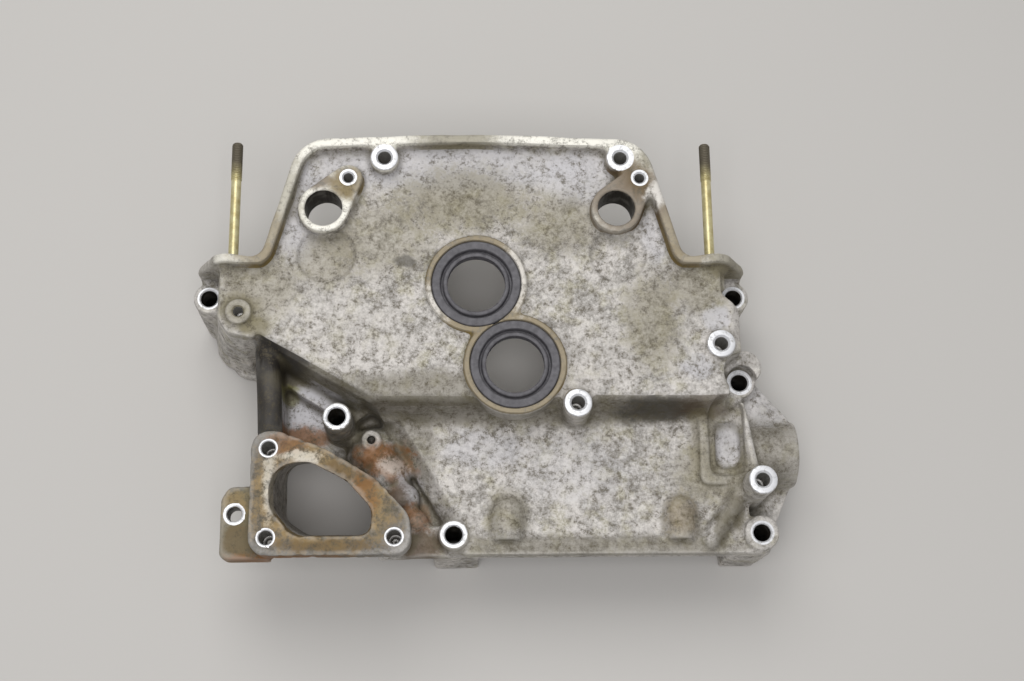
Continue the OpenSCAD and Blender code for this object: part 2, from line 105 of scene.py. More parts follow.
class Fade(Enum):
    """How a tint's share grows along its span."""

    STRAIGHT = "LINEAR"
    SOFT = "SMOOTHSTEP"


def linear(tint: str) -> tuple[float, float, float, float]:
    """Turns an sRGB hex colour into linear red, green, blue and alpha.

    Args:
        tint: The colour as "#rrggbb".

    Returns:
        Four numbers between 0 and 1, alpha 1.
    """
    srgb = np.array([int(tint[i : i + 2], 16) for i in (1, 3, 5)]) / 255
    flat = np.where(srgb <= 0.04045, srgb / 12.92, ((srgb + 0.055) / 1.055) ** 2.4)
    return (*flat.tolist(), 1.0)


def add(
    tree: bpy.types.NodeTree, kind: str, settings: dict | None = None, links: dict | None = None
) -> bpy.types.Node:
    """Adds one node with its settings and its incoming links.

    Args:
        tree: The node tree.
        kind: The node's type name, less the ShaderNode that all of them start with.
        settings: Values by attribute name, or by the name or number of an input socket.
        links: Output sockets by the name or number of the input socket they feed.

    Returns:
        The new node.
    """
    node = tree.nodes.new("ShaderNode" + kind)
    for key, value in (settings or {}).items():
        if isinstance(key, str) and hasattr(node, key):
            setattr(node, key, value)
        else:
            node.inputs[key].default_value = value
    for key, source in (links or {}).items():
        tree.links.new(source, node.inputs[key])
    return node


def fresh_material(name: str) -> tuple[bpy.types.Material, bpy.types.NodeTree, bpy.types.Node]:
    """Starts a node material.

    Args:
        name: The material's name.

    Returns:
        The material, its node tree and its principled shader.
    """
    material = bpy.data.materials.new(name)
    material.use_nodes = True
    tree = material.node_tree
    return material, tree, tree.nodes["Principled BSDF"]


@dataclass(frozen=True)
class Noise:
    """A cloudy pattern: its size in the units of its place, its octaves and how rough they are."""

    size: float
    detail: float
    rough: float = 0.5

    def settings(self) -> dict:
        """The pattern's settings by socket name."""
        return {"Scale": 1 / self.size, "Detail": self.detail, "Roughness": self.rough}


@dataclass(frozen=True)
class Veil:
    """A tint over a colour: none of it at the span's first value, its fullest share at the second."""

    tint: Tint
    span: tuple[float, float]
    most: float
    fade: Fade = Fade.STRAIGHT

    def lay(
        self, tree: bpy.types.NodeTree, below: bpy.types.NodeSocket, value: bpy.types.NodeSocket
    ) -> tuple[bpy.types.NodeSocket, bpy.types.NodeSocket]:
        """Lays the veil over a colour.

        Args:
            tree: The node tree.
            below: The colour under the veil.
            value: The value that the span is read on.

        Returns:
            The colour with the veil on it, and the tint's share.
        """
        start, full = self.span
        share = add(
            tree,
            "MapRange",
            {"interpolation_type": self.fade.value, "From Min": start, "From Max": full, "To Max": self.most},
            {"Value": value},
        ).outputs[0]
        mixed = add(tree, "Mix", {"data_type": "RGBA", 7: linear(self.tint.value)}, {0: share, 6: below})
        return mixed.outputs[2], share


def two_tone(
    tree: bpy.types.NodeTree,
    place: bpy.types.NodeSocket,
    noise: Noise,
    span: tuple[float, float],
    tints: tuple[str, str],
) -> tuple[bpy.types.NodeSocket, bpy.types.NodeSocket, bpy.types.NodeSocket]:
    """Mixes two tints by a noise: all the first at the span's first value, all the second at its last.

    Args:
        tree: The node tree.
        place: Where the noise is read.
        noise: The noise.
        span: Values of the noise between which the tints change over.
        tints: Both tints as sRGB hex.

    Returns:
        The noise, the second tint's share and the mixed colour.
    """
    grain = add(tree, "TexNoise", noise.settings(), {"Vector": place}).outputs["Fac"]
    share = add(tree, "MapRange", {"From Min": span[0], "From Max": span[1]}, {"Value": grain}).outputs[0]
    first, second = (linear(tint) for tint in tints)
    mixed = add(tree, "Mix", {"data_type": "RGBA", 6: first, 7: second}, {0: share})
    return grain, share, mixed.outputs[2]


def lathe(profile: np.ndarray, steps: int, closed: bool) -> tuple[np.ndarray, list]:
    """Turns a profile round the Z axis.

    The point of profile row i at step j is (r cos a, r sin a, z) with a = 2 pi j / steps. The profile runs
    upwards on its outer side, so that faces point outwards.

    Args:
        profile: Rows of radius and height.
        steps: Steps of the full turn.
        closed: True joins the last row to the first, False closes both ends with a flat face.

    Returns:
        Points as an array of rows, and faces as lists of point numbers.
    """
    angle = np.linspace(0, 2 * np.pi, steps, endpoint=False)
    radius, height = profile[:, :1], profile[:, 1:]
    grid = np.stack([radius * np.cos(angle), radius * np.sin(angle), height + 0 * angle], axis=-1)
    rows = len(profile)
    i = np.arange(rows if closed else rows - 1)[:, None]
    j = np.arange(steps)[None, :]
    here, after = i * steps, (i + 1) % rows * steps
    quads = np.stack([here + j, here + (j + 1) % steps, after + (j + 1) % steps, after + j], axis=-1)
    faces = quads.reshape(-1, 4).tolist()
    if not closed:
        ring = np.arange(steps)
        faces += [ring[::-1].tolist(), (ring + (rows - 1) * steps).tolist()]
    return grid.reshape(-1, 3), faces


def rounded(corners: np.ndarray, radius: float, steps: int, most: float = 0.4) -> np.ndarray:
    """Rounds every corner of a closed outline by a quadratic curve.

    Each corner c becomes the curve (1-t)^2 a + 2 t (1-t) c + t^2 b, where a and b lie on the two edges,
    radius away from c or at the largest share of the edge, whichever is nearer.

    Args:
        corners: Rows of two coordinates.
        radius: Reach of a round along each edge.
        steps: Points of each round.
        most: Largest share of an edge that one round takes.

    Returns:
        Rows of the rounded outline.
    """
    before, after = np.roll(corners, 1, axis=0) - corners, np.roll(corners, -1, axis=0) - corners
    reach = [np.minimum(radius / np.linalg.norm(e, axis=1), most)[:, None] for e in (before, after)]
    t = np.linspace(0, 1, steps)[None, :, None]
    start, end = (corners + before * reach[0])[:, None], (corners + after * reach[1])[:, None]
    curve = (1 - t) ** 2 * start + 2 * t * (1 - t) * corners[:, None] + t**2 * end
    return curve.reshape(-1, 2)


def new_object(name: str, points: np.ndarray, faces: list, smooth_to: float = 40) -> bpy.types.Object:
    """Makes a mesh object at the origin, smooth up to an angle.

    Args:
        name: The object's name.
        points: Rows of three coordinates in metres.
        faces: Lists of point numbers.
        smooth_to: Edges that bend more than this many degrees stay sharp.

    Returns:
        The object, linked to the scene.
    """
    mesh = bpy.data.meshes.new(name)
    mesh.from_pydata(np.asarray(points).tolist(), [], faces)
    mesh.shade_smooth()
    mesh.set_sharp_from_angle(angle=math.radians(smooth_to))
    made = bpy.data.objects.new(name, mesh)
    bpy.context.scene.collection.objects.link(made)
    return made


def mesh_points(mesh: bpy.types.Mesh) -> np.ndarray:
    """The mesh's vertices as rows of three coordinates."""
    flat = np.empty(len(mesh.vertices) * 3, np.float32)
    mesh.vertices.foreach_get("co", flat)
    return flat.reshape(-1, 3)


@dataclass(frozen=True)
class Stain:
    """A patch of colour on the casting, seen from outside: its middle and reach in mm, between two levels."""

    tint: Tint
    at: tuple[float, float]
    reach: tuple[float, float]
    levels: tuple[float, float]
    strength: float
    ragged: float


# Levels between which a stain lies, in mm above the sealing plane.
FACE = (70.0, 80.5)
BOSS = (79.2, 84.0)
RIM = (79.4, 90.0)
SLOPE = (50.0, 77.0)
LOW = (54.0, 67.0)
DEEP = (36.0, 62.0)
PORT = (60.0, 84.0)


@dataclass(frozen=True)
class CastAluminium:
    """Die-cast aluminium, oxidised and oily: mottled pale grey skin, dark specks, grime and painted shade in
    every hollow.

    The eye sees a matt grey that is paler on edges, with olive film in the fillets and gold varnish where hot
    oil stood.
    """

    # Noises are sized in mm. A veil's span is in values of the noise, level or attribute that it is laid by.
    mottle: Noise = Noise(16.0, 8.0, 0.76)
    speck: Noise = Noise(1.6, 6.0, 0.85)
    waver: Noise = Noise(9.0, 5.0, 0.6)
    tear: Noise = Noise(5.0, 6.0, 0.78)
    # Cast grit is finer than this, and is drawn this coarse so that it shows.
    grit: Noise = Noise(0.9, 3.0, 0.6)
    grit_deep_mm: float = 0.09
    grit_share: float = 0.55
    patch_span: tuple[float, float] = (0.4, 0.6)
    sway_mm: float = 9.0
    crowding: float = 1.2
    tear_share: float = 1.6
    hem: tuple[float, float] = (1.0, 0.62)
    hem_ragged: tuple[float, float] = (0.2, -0.1)
    hue: Veil = Veil(Tint.OLIVE_SKIN, (0.5, 0.66), 0.5)
    flakes: Veil = Veil(Tint.CHALK, (0.47, 0.33), 0.55)
    rim: Veil = Veil(Tint.CREAM, (82.6, 85.0), 1.0, Fade.SOFT)
    dots: Veil = Veil(Tint.SPECK, (0.51, 0.7), 0.82)
    film_and_shade: Veil = Veil(Tint.FILM_AND_SHADE, (0.12, 0.75), 0.72, Fade.SOFT)
    # Painted shade with some grime: a near black that grows with the hollow attribute, so deep hollows come
    # out dark as if shaded.
    grime: Veil = Veil(Tint.GRIME, (0.6, 2.6), 0.8, Fade.SOFT)
    wear: Veil = Veil(Tint.CHALK, (-0.2, -0.7), 0.2)
    roughness: tuple[float, float] = (0.5, 0.78)
    metallic: float = 0.35
    stains: tuple[Stain, ...] = (
        Stain(Tint.COOL_SKIN, (-15, 66), (90, 15), FACE, 0.7, 0.4),
        Stain(Tint.COOL_SKIN, (-93, 44), (14, 36), FACE, 0.7, 0.4),
        Stain(Tint.COOL_SKIN, (60, 60), (26, 18), FACE, 0.6, 0.5),
        Stain(Tint.COOL_SKIN, (99, 30), (11, 22), FACE, 0.6, 0.4),
        Stain(Tint.OLIVE, (-6, 48), (36, 20), FACE, 0.6, 1.3),
        Stain(Tint.OLIVE, (-48, 26), (30, 22), FACE, 0.45, 1.3),
        Stain(Tint.OLIVE, (46, 34), (24, 18), FACE, 0.5, 1.3),
        Stain(Tint.OLIVE, (94, -20), (16, 28), FACE, 0.55, 1.3),
        Stain(Tint.OLIVE, (-78, 14), (18, 18), FACE, 0.45, 1.3),
        Stain(Tint.OLIVE, (122, 0), (22, 18), FACE, 0.5, 0.8),
        Stain(Tint.OLIVE, (-114, -2), (24, 20), FACE, 0.5, 0.9),
        Stain(Tint.FILM_AND_SHADE, (-20, -56), (62, 10), FACE, 0.6, 1.3),
        Stain(Tint.PALE_SKIN, (-64, -26), (46, 22), FACE, 0.35, 1.2),
        Stain(Tint.PALE_SKIN, (56, -42), (40, 14), FACE, 0.4, 1.2),
        Stain(Tint.COOL_SKIN, (128, -19), (9, 8), FACE, 0.7, 0.4),
        Stain(Tint.COOL_SKIN, (116, -45), (10, 7), FACE, 0.6, 0.4),
        Stain(Tint.OLIVE, (-113, -23), (10, 7), FACE, 0.8, 0.8),
        Stain(Tint.OLIVE, (-122, -15), (12, 12), (70, 90), 0.65, 0.9),
        Stain(Tint.GOLD, (1.7, 0), (44, 44), BOSS, 0.95, 0.5),
        Stain(Tint.GOLD, (21.7, -43.7), (44, 44), BOSS, 0.95, 0.5),
        Stain(Tint.CHALK, (25, 8), (9, 24), BOSS, 0.75, 1.3),
        Stain(Tint.CHALK, (-22, -13), (9, 13), BOSS, 0.75, 1.3),
        Stain(Tint.OLIVE, (-9, 79), (26, 9), RIM, 0.85, 1.0),
        Stain(Tint.OLIVE, (-101, 44), (12, 40), RIM, 0.65, 1.5),
        Stain(Tint.GOLD, (-108, 22), (12, 20), RIM, 0.7, 0.9),
        Stain(Tint.GOLD, (105, 32), (10, 28), RIM, 0.9, 1.0),
        Stain(Tint.GOLD, (114, 14), (15, 8), RIM, 0.85, 0.9),
        Stain(Tint.GOLD, (-113, 14), (15, 8), RIM, 0.75, 0.7),
        Stain(Tint.OLIVE, (137, 11), (16, 9), (58, 90), 0.8, 0.4),
        Stain(Tint.OLIVE, (-137, 11), (16, 9), (58, 90), 0.25, 1.2),
        Stain(Tint.VARNISH, (81, 46), (25, 27), RIM, 0.95, 0.35),
        Stain(Tint.OLIVE, (97, 70), (10, 10), RIM, 0.7, 0.9),
        Stain(Tint.CHALK, (97, 48), (6, 8), RIM, 0.85, 0.8),
        Stain(Tint.VARNISH, (-82, 55), (10, 6), RIM, 0.92, 0.3),
        Stain(Tint.GOLD, (-66, 54), (12, 12), RIM, 0.9, 0.5),
        Stain(Tint.CHALK, (-58, 44), (5, 7), RIM, 0.9, 0.6),
        # The next six stains are painted shade: they darken the slopes that face down, away from the light.
        Stain(Tint.FILM_AND_SHADE, (20, -65), (170, 8), SLOPE, 0.6, 0.5),
        Stain(Tint.GRIME, (98, -65), (24, 6), SLOPE, 0.7, 1.2),
        Stain(Tint.BROWN, (122, -63), (16, 6), SLOPE, 0.5, 1.2),
        Stain(Tint.GRIME, (-107, -52), (13, 40), SLOPE, 0.95, 0.2),
        Stain(Tint.GRIME, (-97, -37), (20, 12), SLOPE, 0.85, 0.5),
        Stain(Tint.FILM_AND_SHADE, (-76, -50), (36, 9), SLOPE, 0.7, 0.4),
        Stain(Tint.COOL_SKIN, (-86, -62), (22, 15), DEEP, 0.9, 0.3),
        Stain(Tint.RUST, (-92, -75), (17, 7), DEEP, 0.85, 0.8),
        Stain(Tint.MARKER, (-99, -53), (7, 5), DEEP, 0.7, 0.4),
        Stain(Tint.FILM_AND_SHADE, (-67, -75), (13, 12), (44, 79), 0.7, 0.5),
        Stain(Tint.FILM_AND_SHADE, (-30, -84), (12, 26), DEEP, 0.5, 0.6),
        Stain(Tint.RUST, (-48, -89), (17, 10), DEEP, 0.9, 0.9),
        Stain(Tint.RUST, (-38, -96), (9, 16), DEEP, 0.75, 1.1),
        Stain(Tint.CHALK, (-42, -92), (8, 6), DEEP, 0.5, 1.5),
        Stain(Tint.COOL_SKIN, (-34, -106), (8, 12), DEEP, 0.85, 1.0),
        Stain(Tint.BROWN, (-40, -114), (9, 14), DEEP, 0.85, 0.7),
        Stain(Tint.RUST, (-29, -120), (8, 9), DEEP, 0.8, 1.0),
        Stain(Tint.BROWN, (-27, -134), (16, 9), DEEP, 0.85, 0.7),
        Stain(Tint.SLATE, (-80, -112), (66, 56), PORT, 0.8, 0.5),
        Stain(Tint.TAN, (-76, -112), (42, 33), PORT, 0.9, 1.1),
        Stain(Tint.BROWN, (-62, -100), (20, 9), PORT, 0.55, 1.0),
        Stain(Tint.RUST, (-96, -85), (12, 7), PORT, 0.6, 1.2),
        Stain(Tint.RUST, (-56, -113), (8, 14), PORT, 0.6, 1.2),
        Stain(Tint.VARNISH, (-74, -137), (26, 4), PORT, 0.6, 1.2),
        Stain(Tint.CREAM, (-103, -106), (3.5, 20), PORT, 0.4, 1.2),
        Stain(Tint.CREAM, (-88, -92), (12, 3.5), PORT, 0.45, 1.2),
        Stain(Tint.OLIVE, (-122, -124), (17, 28), (40, 68), 0.8, 0.8),
        Stain(Tint.VARNISH, (-118, -134), (13, 15), (40, 68), 0.6, 1.3),
        Stain(Tint.TAN, (-124, -113), (9, 9), (56, 68), 0.6, 1.2),
        Stain(Tint.RUST, (-98, -144), (40, 6), (40, 76), 0.8, 0.7),
        Stain(Tint.FILM_AND_SHADE, (160, -85), (26, 24), (18, 60), 0.55, 0.5),
        Stain(Tint.OLIVE, (128, -98), (26, 18), LOW, 0.55, 0.8),
        Stain(Tint.FILM_AND_SHADE, (136, -117), (7, 10), LOW, 0.75, 0.6),
        Stain(Tint.FILM_AND_SHADE, (129, -127), (6, 11), LOW, 0.75, 0.6),
        Stain(Tint.COOL_SKIN, (50, -95), (34, 18), LOW, 0.3, 1.2),
        Stain(Tint.OLIVE, (122, -80), (9, 26), LOW, 0.5, 0.7),
        Stain(Tint.COOL_SKIN, (134.6, -82), (9, 15), (50, 55), 0.6, 0.3),
        Stain(Tint.COOL_SKIN, (158, -58), (16, 16), (40, 50), 0.4, 0.6),
        Stain(Tint.GOLD, (107.5, -121), (10, 14), LOW, 0.55, 0.9),
        Stain(Tint.OLIVE, (17.3, -118), (12, 14), LOW, 0.5, 0.9),
        Stain(Tint.FILM_AND_SHADE, (60, -136), (100, 6), LOW, 0.6, 1.5),
        Stain(Tint.COOL_SKIN, (4, -84), (24, 12), LOW, 0.5, 0.5),
        Stain(Tint.GRIME, (-36, 13), (6, 4), FACE, 0.6, 0.5),
    )

    def stain(
        self, tree: bpy.types.NodeTree, below: bpy.types.NodeSocket, mark: Stain, places: dict
    ) -> bpy.types.NodeSocket:
        """Lays one stain over a colour: full at its place, gone at its reach, with a ragged edge.

        Args:
            tree: The node tree.
            below: The colour under the stain.
            mark: The stain.
            places: Sockets by name: the wavering flat place in mm, the ragged noise and the level in mm.

        Returns:
            The colour with the stain on it.
        """
        middle, reach = (*mark.at, 0.0), (*mark.reach, 1.0)
        away = add(tree, "VectorMath", {"operation": "SUBTRACT", 1: middle}, {0: places["wavering"]})
        part = add(tree, "VectorMath", {"operation": "DIVIDE", 1: reach}, {0: away.outputs[0]})
        far = add(tree, "VectorMath", {"operation": "LENGTH"}, {0: part.outputs[0]})
        torn = add(
            tree,
            "Math",
            {"operation": "MULTIPLY_ADD", 1: self.tear_share * mark.ragged},
            {0: places["ragged"], 2: far.outputs["Value"]},
        )
        gone, full = (h + r * mark.ragged for h, r in zip(self.hem, self.hem_ragged))
        cover = add(
            tree,
            "MapRange",
            {
                "interpolation_type": Fade.SOFT.value,
                "From Min": gone,
                "From Max": full,
                "To Max": mark.strength,
            },
            {"Value": torn.outputs[0]},
        )
        low, high = mark.levels
        between = {"operation": "COMPARE", 1: (low + high) / 2, 2: (high - low) / 2}
        level = add(tree, "Math", between, {0: places["level"]})
        share = add(tree, "Math", {"operation": "MULTIPLY"}, {0: cover.outputs[0], 1: level.outputs[0]})
        tint = linear(mark.tint.value)
        mixed = add(tree, "Mix", {"data_type": "RGBA", 7: tint}, {0: share.outputs[0], 6: below})
        return mixed.outputs[2]

    def make(self) -> bpy.types.Material:
        """Builds the material.

        Returns:
            The material, which reads object coordinates and the groove and hollow attributes.
        """
        material, tree, shader = fresh_material("cast_aluminium")
        place = add(tree, "TexCoord").outputs["Object"]
        mm = add(tree, "VectorMath", {"operation": "SCALE", "Scale": 1 / MM}, {0: place}).outputs[0]
        level = add(tree, "SeparateXYZ", {}, {0: mm}).outputs["Z"]
        waver, tear, speck, grit = (
            add(tree, "TexNoise", noise.settings(), {"Vector": mm})
            for noise in (self.waver, self.tear, self.speck, self.grit)
        )
        sway = self.sway_mm
        swung = add(
            tree,
            "VectorMath",
            {"operation": "MULTIPLY_ADD", 1: (sway, sway, 0), 2: (-sway / 2, -sway / 2, 0)},
            {0: waver.outputs["Color"]},
        )
        flat = {"operation": "MULTIPLY_ADD", 1: (1, 1, 0)}
        wavering = add(tree, "VectorMath", flat, {0: mm, 2: swung.outputs[0]}).outputs[0]
        ragged = add(tree, "Math", {"operation": "SUBTRACT", 1: 0.5}, {0: tear.outputs["Fac"]}).outputs[0]
        places = {"wavering": wavering, "ragged": ragged, "level": level}
        tints = (Tint.GREY_SKIN.value, Tint.PALE_SKIN.value)
        mottle, _, colour = two_tone(tree, mm, self.mottle, self.patch_span, tints)
        denser = {"operation": "MULTIPLY_ADD", 1: self.crowding}
        crowd = add(tree, "Math", denser, {0: ragged, 2: speck.outputs["Fac"]}).outputs[0]
        for veil, value in ((self.hue, waver.outputs["Fac"]), (self.flakes, crowd), (self.rim, level)):
            colour, _ = veil.lay(tree, colour, value)
        for mark in self.stains:
            colour = self.stain(tree, colour, mark, places)
        colour, dots = self.dots.lay(tree, colour, crowd)
        groove, hollow = (
            add(tree, "Attribute", {"attribute_name": name}).outputs["Fac"] for name in ("groove", "hollow")
        )
        # The hollow veil paints shade into deep hollows, as well as grime.
        for veil, value in ((self.film_and_shade, groove), (self.grime, hollow), (self.wear, groove)):
            colour, _ = veil.lay(tree, colour, value)
        tree.links.new(colour, shader.inputs["Base Color"])
        low, high = self.roughness
        dull = add(tree, "MapRange", {"To Min": low, "To Max": high}, {"Value": mottle})
        tree.links.new(dull.outputs[0], shader.inputs["Roughness"])
        shader.inputs["Metallic"].default_value = self.metallic
        pits = add(tree, "Math", {"operation": "SUBTRACT"}, {0: grit.outputs["Fac"], 1: dots})
        relief = {"Strength": self.grit_share, "Distance": self.grit_deep_mm * MM}
        bump = add(tree, "Bump", relief, {"Height": pits.outputs[0]})
        tree.links.new(bump.outputs[0], shader.inputs["Normal"])
        return material


@dataclass(frozen=True)
class FacedAluminium:
    """Aluminium faced by a cutter and rubbed bright by bolt heads: near white, with small dull scuffs."""

    tints: tuple[str, str] = ("#dadadb", "#a9a8a5")
    scuff: Noise = Noise(2.2 * MM, 5.0, 0.7)
    scuff_span: tuple[float, float] = (0.52, 0.72)
    scuff_deep_mm: float = 0.05
    scuff_share: float = 0.25
    roughness: tuple[float, float] = (0.44, 0.64)
    metallic: float = 0.6

    def make(self) -> bpy.types.Material:
        """Builds the material.

        Returns:
            The material, which reads object coordinates.
        """
        material, tree, shader = fresh_material("faced_aluminium")
        place = add(tree, "TexCoord").outputs["Object"]
        scuff, share, colour = two_tone(tree, place, self.scuff, self.scuff_span, self.tints)
        tree.links.new(colour, shader.inputs["Base Color"])
        low, high = self.roughness
        dull = add(tree, "MapRange", {"To Min": low, "To Max": high}, {"Value": share})
        tree.links.new(dull.outputs[0], shader.inputs["Roughness"])
        shader.inputs["Metallic"].default_value = self.metallic
        relief = {"Strength": self.scuff_share, "Distance": self.scuff_deep_mm * MM}
        bump = add(tree, "Bump", relief, {"Height": scuff})
        tree.links.new(bump.outputs[0], shader.inputs["Normal"])
        return material


@dataclass(frozen=True)
class TappedAluminium:
    """Tapped holes in aluminium: pale crests and dark oily roots, in rings one pitch apart; the pale crests
    are a painted highlight and the dark roots partly painted shade.
    """

    pitch_mm: float = 1.25
    crest: str = "#cfcdc8"
    root: str = "#65615a"
    thread_deep_mm: float = 0.3
    thread_share: float = 0.8
    roughness: float = 0.45
    metallic: float = 0.6

    def make(self) -> bpy.types.Material:
        """Builds the material.

        A wave texture repeats every pi / (10 scale), which sets its scale from the pitch.

        Returns:
            The material, whose rings follow the object's Z.
        """
        material, tree, shader = fresh_material("tapped_aluminium")
        place = add(tree, "TexCoord").outputs["Object"]
        scale = math.pi / (10 * self.pitch_mm * MM)
        rows = {"bands_direction": "Z", "Scale": scale, "Distortion": 0.0}
        rings = add(tree, "TexWave", rows, {"Vector": place}).outputs["Fac"]
        # Painted light: pale crests as a highlight and dark roots as shade of the thread form, over real oil.
        flanks = {"data_type": "RGBA", 6: linear(self.root), 7: linear(self.crest)}
        mixed = add(tree, "Mix", flanks, {0: rings})
        tree.links.new(mixed.outputs[2], shader.inputs["Base Color"])
        shader.inputs["Roughness"].default_value = self.roughness
        shader.inputs["Metallic"].default_value = self.metallic
        relief = {"Strength": self.thread_share, "Distance": self.thread_deep_mm * MM}
        bump = add(tree, "Bump", relief, {"Height": rings})
        tree.links.new(bump.outputs[0], shader.inputs["Normal"])
        return material


@dataclass(frozen=True)
class BoredAluminium:
    """Drilled and bored holes: smooth aluminium under old dark oil, with painted shade making the holes
    darker still.
    """

    # Both tints are dark: they stand for old oil and also paint the shade inside the holes.
    tints: tuple[str, str] = ("#38332c", "#6e6a63")
    oil_and_shade: Noise = Noise(6.0 * MM, 4.0)
    oil_and_shade_span: tuple[float, float] = (0.5, 0.7)
    roughness: float = 0.5
    metallic: float = 0.4

    def make(self) -> bpy.types.Material:
        """Builds the material.

        Returns:
            The material, which reads object coordinates.
        """
        material, tree, shader = fresh_material("bored_aluminium")
        place = add(tree, "TexCoord").outputs["Object"]
        _, _, colour = two_tone(tree, place, self.oil_and_shade, self.oil_and_shade_span, self.tints)
        tree.links.new(colour, shader.inputs["Base Color"])
        shader.inputs["Roughness"].default_value = self.roughness
        shader.inputs["Metallic"].default_value = self.metallic
        return material


@dataclass(frozen=True)
class SealRubber:
    """Moulded nitrile rubber, dusty: a dark grey with a soft gloss and fine grain."""

    tints: tuple[str, str] = ("#464447", "#605e61")
    dust: Noise = Noise(3.0 * MM, 5.0, 0.65)
    dust_span: tuple[float, float] = (0.35, 0.68)
    # The moulded grain is finer than this, and is drawn this coarse so that it shows.
    grain: Noise = Noise(0.5 * MM, 2.0)
    grain_deep_mm: float = 0.04
    grain_share: float = 0.3
    roughness: float = 0.58
    ior: float = 1.52

    def make(self) -> bpy.types.Material:
        """Builds the material.

        Returns:
            The material, which reads object coordinates.
        """
        material, tree, shader = fresh_material("seal_rubber")
        place = add(tree, "TexCoord").outputs["Object"]
        _, _, colour = two_tone(tree, place, self.dust, self.dust_span, self.tints)
        tree.links.new(colour, shader.inputs["Base Color"])
        shader.inputs["Roughness"].default_value = self.roughness
        shader.inputs["IOR"].default_value = self.ior
        grain = add(tree, "TexNoise", self.grain.settings(), {"Vector": place})
        relief = {"Strength": self.grain_share, "Distance": self.grain_deep_mm * MM}
        bump = add(tree, "Bump", relief, {"Height": grain.outputs["Fac"]})
        tree.links.new(bump.outputs[0], shader.inputs["Normal"])
        return material


@dataclass(frozen=True)
class SpringSteel:
    """Drawn spring wire, oiled: smooth grey steel with slight brown film."""

    tints: tuple[str, str] = ("#a5a39f", "#6a6156")
    film_and_shade: Noise = Noise(4.0 * MM, 3.0)
    film_span: tuple[float, float] = (0.0, 1.0)
    roughness: float = 0.34
    metallic: float = 1.0

    def make(self) -> bpy.types.Material:
        """Builds the material.

        Returns:
            The material, which reads object coordinates.
        """
        material, tree, shader = fresh_material("spring_steel")
        place = add(tree, "TexCoord").outputs["Object"]
        _, _, colour = two_tone(tree, place, self.film_and_shade, self.film_span, self.tints)
        tree.links.new(colour, shader.inputs["Base Color"])
        shader.inputs["Roughness"].default_value = self.roughness
        shader.inputs["Metallic"].default_value = self.metallic
        return material


@dataclass(frozen=True)
class YellowZinc:
    """Yellow chromated zinc on steel: a pale brassy gloss on the shank, grey and oily on the worn thread."""

    tints: tuple[str, str] = ("#d3cb9f", "#b4a674")
    thread: str = "#6b6458"
    thread_from_y: float = 60.0
    thread_share: float = 0.95
    fade_mm: float = 9.0
    patch: Noise = Noise(5.0 * MM, 4.0, 0.65)
    patch_span: tuple[float, float] = (0.38, 0.66)
    roughness: tuple[float, float] = (0.36, 0.66)
    metallic: float = 0.5

    def make(self) -> bpy.types.Material:
        """Builds the material.

        Returns:
            The material, which reads object coordinates and turns grey towards the tip.
        """
        material, tree, shader = fresh_material("yellow_zinc")
        place = add(tree, "TexCoord").outputs["Object"]
        along = add(tree, "SeparateXYZ", {}, {0: place}).outputs["Y"]
        patch, _, plated = two_tone(tree, place, self.patch, self.patch_span, self.tints)
        shift = {"operation": "MULTIPLY_ADD", 1: self.fade_mm * MM}
        ragged = add(tree, "Math", shift, {0: patch, 2: along})
        worn = add(
            tree,
            "MapRange",
            {
                "interpolation_type": Fade.SOFT.value,
                "From Min": (self.thread_from_y + self.fade_mm / 2) * MM,
                "From Max": (self.thread_from_y + 2 * self.fade_mm) * MM,
                "To Max": self.thread_share,
            },
            {"Value": ragged.outputs[0]},
        ).outputs[0]
        mixed = add(tree, "Mix", {"data_type": "RGBA", 7: linear(self.thread)}, {0: worn, 6: plated})
        tree.links.new(mixed.outputs[2], shader.inputs["Base Color"])
        low, high = self.roughness
        dull = add(tree, "MapRange", {"To Min": low, "To Max": high}, {"Value": worn})
        tree.links.new(dull.outputs[0], shader.inputs["Roughness"])
        shader.inputs["Metallic"].default_value = self.metallic
        return material


@dataclass(frozen=True)
class FloorPaint:
    """Pale matt studio floor."""

    tint: str = "#bfbcb7"
    roughness: float = 0.85

    def make(self) -> bpy.types.Material:
        """Builds the material.

        Returns:
            The material, in one plain colour.
        """
        material, _, shader = fresh_material("studio_floor")
        shader.inputs["Base Color"].default_value = linear(self.tint)
        shader.inputs["Roughness"].default_value = self.roughness
        return material


@dataclass(frozen=True)
class Machined:
    """One machined place with a vertical axis: a faced ring round a hole. Sizes in mm."""

    name: str
    at: tuple[float, float]
    face_z: float
    face_r: float
    hole_r: float
    deep: float
    chamfer: float = 0.7
    tapped: bool = False
    bright: bool = True
    point_r: float = 0.05
    point_slope: float = 0.58

    def profile(self, over: float) -> np.ndarray:
        """The section of the tool that leaves this place: drill point, hole, chamfer and face.

        Args:
            over: Height of the tool above the face, in mm.

        Returns:
            Rows of radius and height from the point up.
        """
        low = self.face_z - self.deep
        return np.array(
            [
                [self.point_r, low - self.point_slope * self.hole_r],
                [self.hole_r, low],
                [self.hole_r, self.face_z - self.chamfer],
                [self.hole_r + self.chamfer, self.face_z],
                [self.face_r, self.face_z],
                [self.face_r, self.face_z + over],
            ]
        )


@dataclass(frozen=True)
class Recess:
    """A shallow round dip in a face, with a soft wall. Sizes in mm."""

    at: tuple[float, float]
    radius: float
    deep: float = 0.85
    wall: float = 1.6

    def depth(self, points: np.ndarray) -> np.ndarray:
        """How far the dip lowers each point.

        Args:
            points: Rows of coordinates in mm.

        Returns:
            One depth in mm for each point.
        """
        away = np.linalg.norm(points[:, :2] - self.at, axis=1)
        return self.deep * np.clip((self.radius - away) / self.wall + 0.5, 0, 1)


